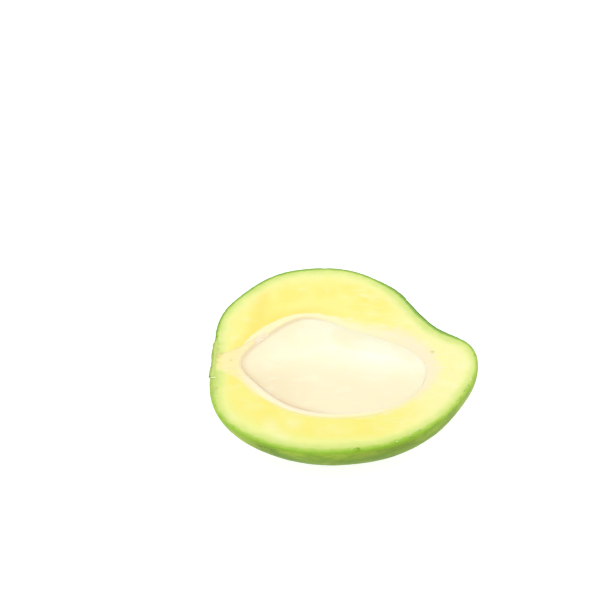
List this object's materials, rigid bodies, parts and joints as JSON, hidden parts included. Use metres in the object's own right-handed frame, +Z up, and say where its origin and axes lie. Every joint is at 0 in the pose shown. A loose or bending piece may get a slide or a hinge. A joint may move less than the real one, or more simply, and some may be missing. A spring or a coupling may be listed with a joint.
{
  "type": "half mango",
  "caption": "Green mango cut in half lengthways through the stone, lying on its rounded skin with the seed showing.",
  "frame": {"origin": "on the ground, under the middle of the object's box", "axes": "+X from the stem end to the beak, +Y across the cut face to the side with the hollow above the beak, +Z up, out of the cut face"},
  "size_m": [0.0901, 0.075, 0.0331],
  "materials": {
    "green_skin": "thin waxy fruit skin, fresh green with paler mottles and fine dots, satin",
    "pale_flesh": "moist firm unripe flesh, pale yellow, greener towards the skin, with faint fibres",
    "stone_husk": "pale young fibrous husk of the stone, damp and matte",
    "cream_kernel": "smooth damp cream seed, soft gloss",
    "corky_scar": "dry brown cork, rough and matte"
  },
  "bodies": {
    "root": {"peel": "green_skin", "flesh": "pale_flesh", "husk": "stone_husk", "kernel": "cream_kernel", "stem_scar": "corky_scar"}
  },
  "joints": []
}
